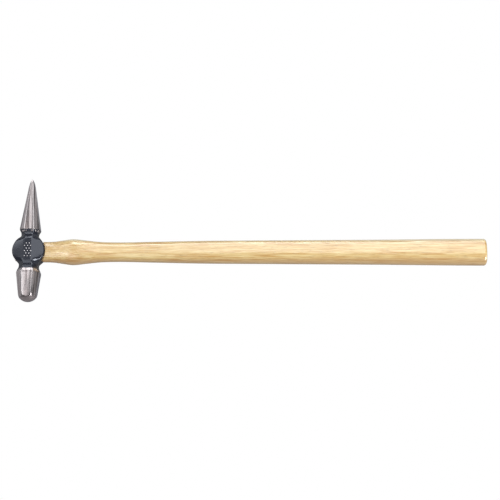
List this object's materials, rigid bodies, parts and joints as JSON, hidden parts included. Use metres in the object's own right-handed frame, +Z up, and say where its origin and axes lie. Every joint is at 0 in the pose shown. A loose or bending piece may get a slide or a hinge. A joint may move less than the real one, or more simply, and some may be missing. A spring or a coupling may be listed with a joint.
{
  "type": "cross peen hammer",
  "caption": "Long-handled hammer with an octagonal head, a slender tapered cross peen, a domed poll, round cheeks and an oval wooden handle.",
  "frame": {"origin": "on the lower cheek's flat, right under the centre of the eye, so the hammer lies on its side on the plane z = 0", "axes": "+X along the handle from the eye to the butt, +Y along the head from the eye to the peen, +Z up, square to the cheeks"},
  "size_m": [0.4723, 0.1259, 0.0236],
  "materials": {
    "head_steel": "ground and polished peen and poll, glossy black enamel between them",
    "handle_wood": "pale straight-grained ash or oak under clear varnish",
    "wedge_wood": "darker hardwood, sawn flush",
    "wedge_steel": "bare, filed flush"
  },
  "bodies": {
    "root": {"hammer_head": "head_steel", "handle": "handle_wood", "wooden_wedge": "wedge_wood", "steel_wedge_peen_side": "wedge_steel", "steel_wedge_poll_side": "wedge_steel"}
  },
  "joints": []
}
